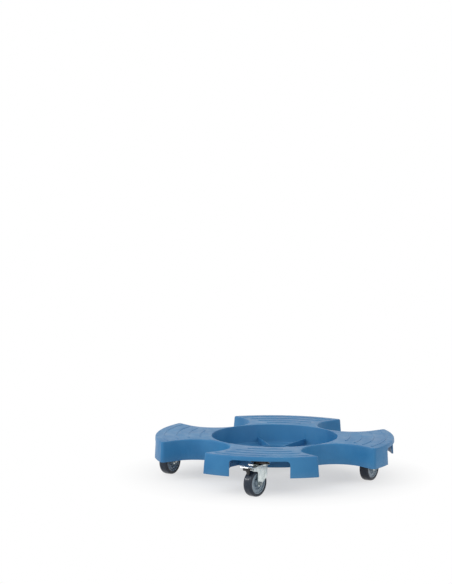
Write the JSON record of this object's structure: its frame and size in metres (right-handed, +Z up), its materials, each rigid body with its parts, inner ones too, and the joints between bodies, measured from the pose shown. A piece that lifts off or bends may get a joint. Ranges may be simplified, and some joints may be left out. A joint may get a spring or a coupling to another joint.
{
  "type": "tyre trolley",
  "caption": "Low four-lobed plastic tyre trolley with a dished middle, on swivel casters with foot brakes on an opposite pair.",
  "frame": {"origin": "on the floor below the middle of the deck", "axes": "+Z up, -Y towards the lobe that faces the picture's camera, +X to its right; the four lobes lie along the X and Y axes"},
  "size_m": [0.6772, 0.7166, 0.1155],
  "materials": {
    "blue_plastic": "moulded, fine grain",
    "zinc_steel": "bright zinc plate on pressed steel",
    "dark_zinc": "zinc plate",
    "grey_rubber": "satin, dark grey",
    "grey_plastic": "moulded, grey",
    "nylon": "natural nylon"
  },
  "bodies": {
    "trolley_deck": {"deck": "blue_plastic", "front_caster_plate": "zinc_steel", "front_caster_swivel_race": "zinc_steel", "front_caster_king_pin": "dark_zinc", "front_caster_screw_1": "dark_zinc", "front_caster_screw_2": "dark_zinc", "front_caster_screw_3": "dark_zinc", "front_caster_screw_4": "dark_zinc", "right_caster_plate": "zinc_steel", "right_caster_swivel_race": "zinc_steel", "right_caster_king_pin": "dark_zinc", "right_caster_screw_1": "dark_zinc", "right_caster_screw_2": "dark_zinc", "right_caster_screw_3": "dark_zinc", "right_caster_screw_4": "dark_zinc", "back_caster_plate": "zinc_steel", "back_caster_swivel_race": "zinc_steel", "back_caster_king_pin": "dark_zinc", "back_caster_screw_1": "dark_zinc", "back_caster_screw_2": "dark_zinc", "back_caster_screw_3": "dark_zinc", "back_caster_screw_4": "dark_zinc", "left_caster_plate": "zinc_steel", "left_caster_swivel_race": "zinc_steel", "left_caster_king_pin": "dark_zinc", "left_caster_screw_1": "dark_zinc", "left_caster_screw_2": "dark_zinc", "left_caster_screw_3": "dark_zinc", "left_caster_screw_4": "dark_zinc"},
    "front_swivel": {"front_caster_fork": "zinc_steel", "front_caster_hub_bush": "nylon", "front_caster_axle_bolt": "zinc_steel", "front_caster_axle_nut": "zinc_steel", "front_brake_pin": "dark_zinc"},
    "front_wheel": {"front_caster_tread": "grey_rubber", "front_caster_wheel_core": "grey_plastic"},
    "front_pedal": {"front_brake_pedal": "zinc_steel", "front_brake_shoe": "grey_rubber"},
    "right_swivel": {"right_caster_fork": "zinc_steel", "right_caster_hub_bush": "nylon", "right_caster_axle_bolt": "zinc_steel", "right_caster_axle_nut": "zinc_steel"},
    "right_wheel": {"right_caster_tread": "grey_rubber", "right_caster_wheel_core": "grey_plastic"},
    "back_swivel": {"back_caster_fork": "zinc_steel", "back_caster_hub_bush": "nylon", "back_caster_axle_bolt": "zinc_steel", "back_caster_axle_nut": "zinc_steel", "back_brake_pin": "dark_zinc"},
    "back_wheel": {"back_caster_tread": "grey_rubber", "back_caster_wheel_core": "grey_plastic"},
    "back_pedal": {"back_brake_pedal": "zinc_steel", "back_brake_shoe": "grey_rubber"},
    "left_swivel": {"left_caster_fork": "zinc_steel", "left_caster_hub_bush": "nylon", "left_caster_axle_bolt": "zinc_steel", "left_caster_axle_nut": "zinc_steel"},
    "left_wheel": {"left_caster_tread": "grey_rubber", "left_caster_wheel_core": "grey_plastic"}
  },
  "joints": [
    {"name": "front_caster_turn", "type": "hinge", "parent": "trolley_deck", "child": "front_swivel", "pos_m": [0, -0.2833, 0.09], "axis": [0, 0, 1], "continuous": true},
    {"name": "front_wheel_spin", "type": "hinge", "parent": "front_swivel", "child": "front_wheel", "pos_m": [-0.01491, -0.30841, 0.0375], "axis": [0.8599, -0.5105, 0], "continuous": true},
    {"name": "front_pedal_press", "type": "hinge", "parent": "front_swivel", "child": "front_pedal", "pos_m": [-0.03022, -0.3342, 0.08], "axis": [0.8599, -0.5105, 0], "range_deg": [0, 16]},
    {"name": "right_caster_turn", "type": "hinge", "parent": "trolley_deck", "child": "right_swivel", "pos_m": [0.2833, 0, 0.09], "axis": [0, 0, 1], "continuous": true},
    {"name": "right_wheel_spin", "type": "hinge", "parent": "right_swivel", "child": "right_wheel", "pos_m": [0.27227, -0.02704, 0.0375], "axis": [0.9259, -0.3778, 0], "continuous": true},
    {"name": "back_caster_turn", "type": "hinge", "parent": "trolley_deck", "child": "back_swivel", "pos_m": [0, 0.2833, 0.09], "axis": [0, 0, 1], "continuous": true},
    {"name": "back_wheel_spin", "type": "hinge", "parent": "back_swivel", "child": "back_wheel", "pos_m": [0.01491, 0.30841, 0.0375], "axis": [-0.8599, 0.5105, 0], "continuous": true},
    {"name": "back_pedal_press", "type": "hinge", "parent": "back_swivel", "child": "back_pedal", "pos_m": [0.03022, 0.3342, 0.08], "axis": [-0.8599, 0.5105, 0], "range_deg": [0, 16]},
    {"name": "left_caster_turn", "type": "hinge", "parent": "trolley_deck", "child": "left_swivel", "pos_m": [-0.2833, 0, 0.09], "axis": [0, 0, 1], "continuous": true},
    {"name": "left_wheel_spin", "type": "hinge", "parent": "left_swivel", "child": "left_wheel", "pos_m": [-0.29596, -0.02631, 0.0375], "axis": [0.9011, -0.4337, 0], "continuous": true}
  ]
}
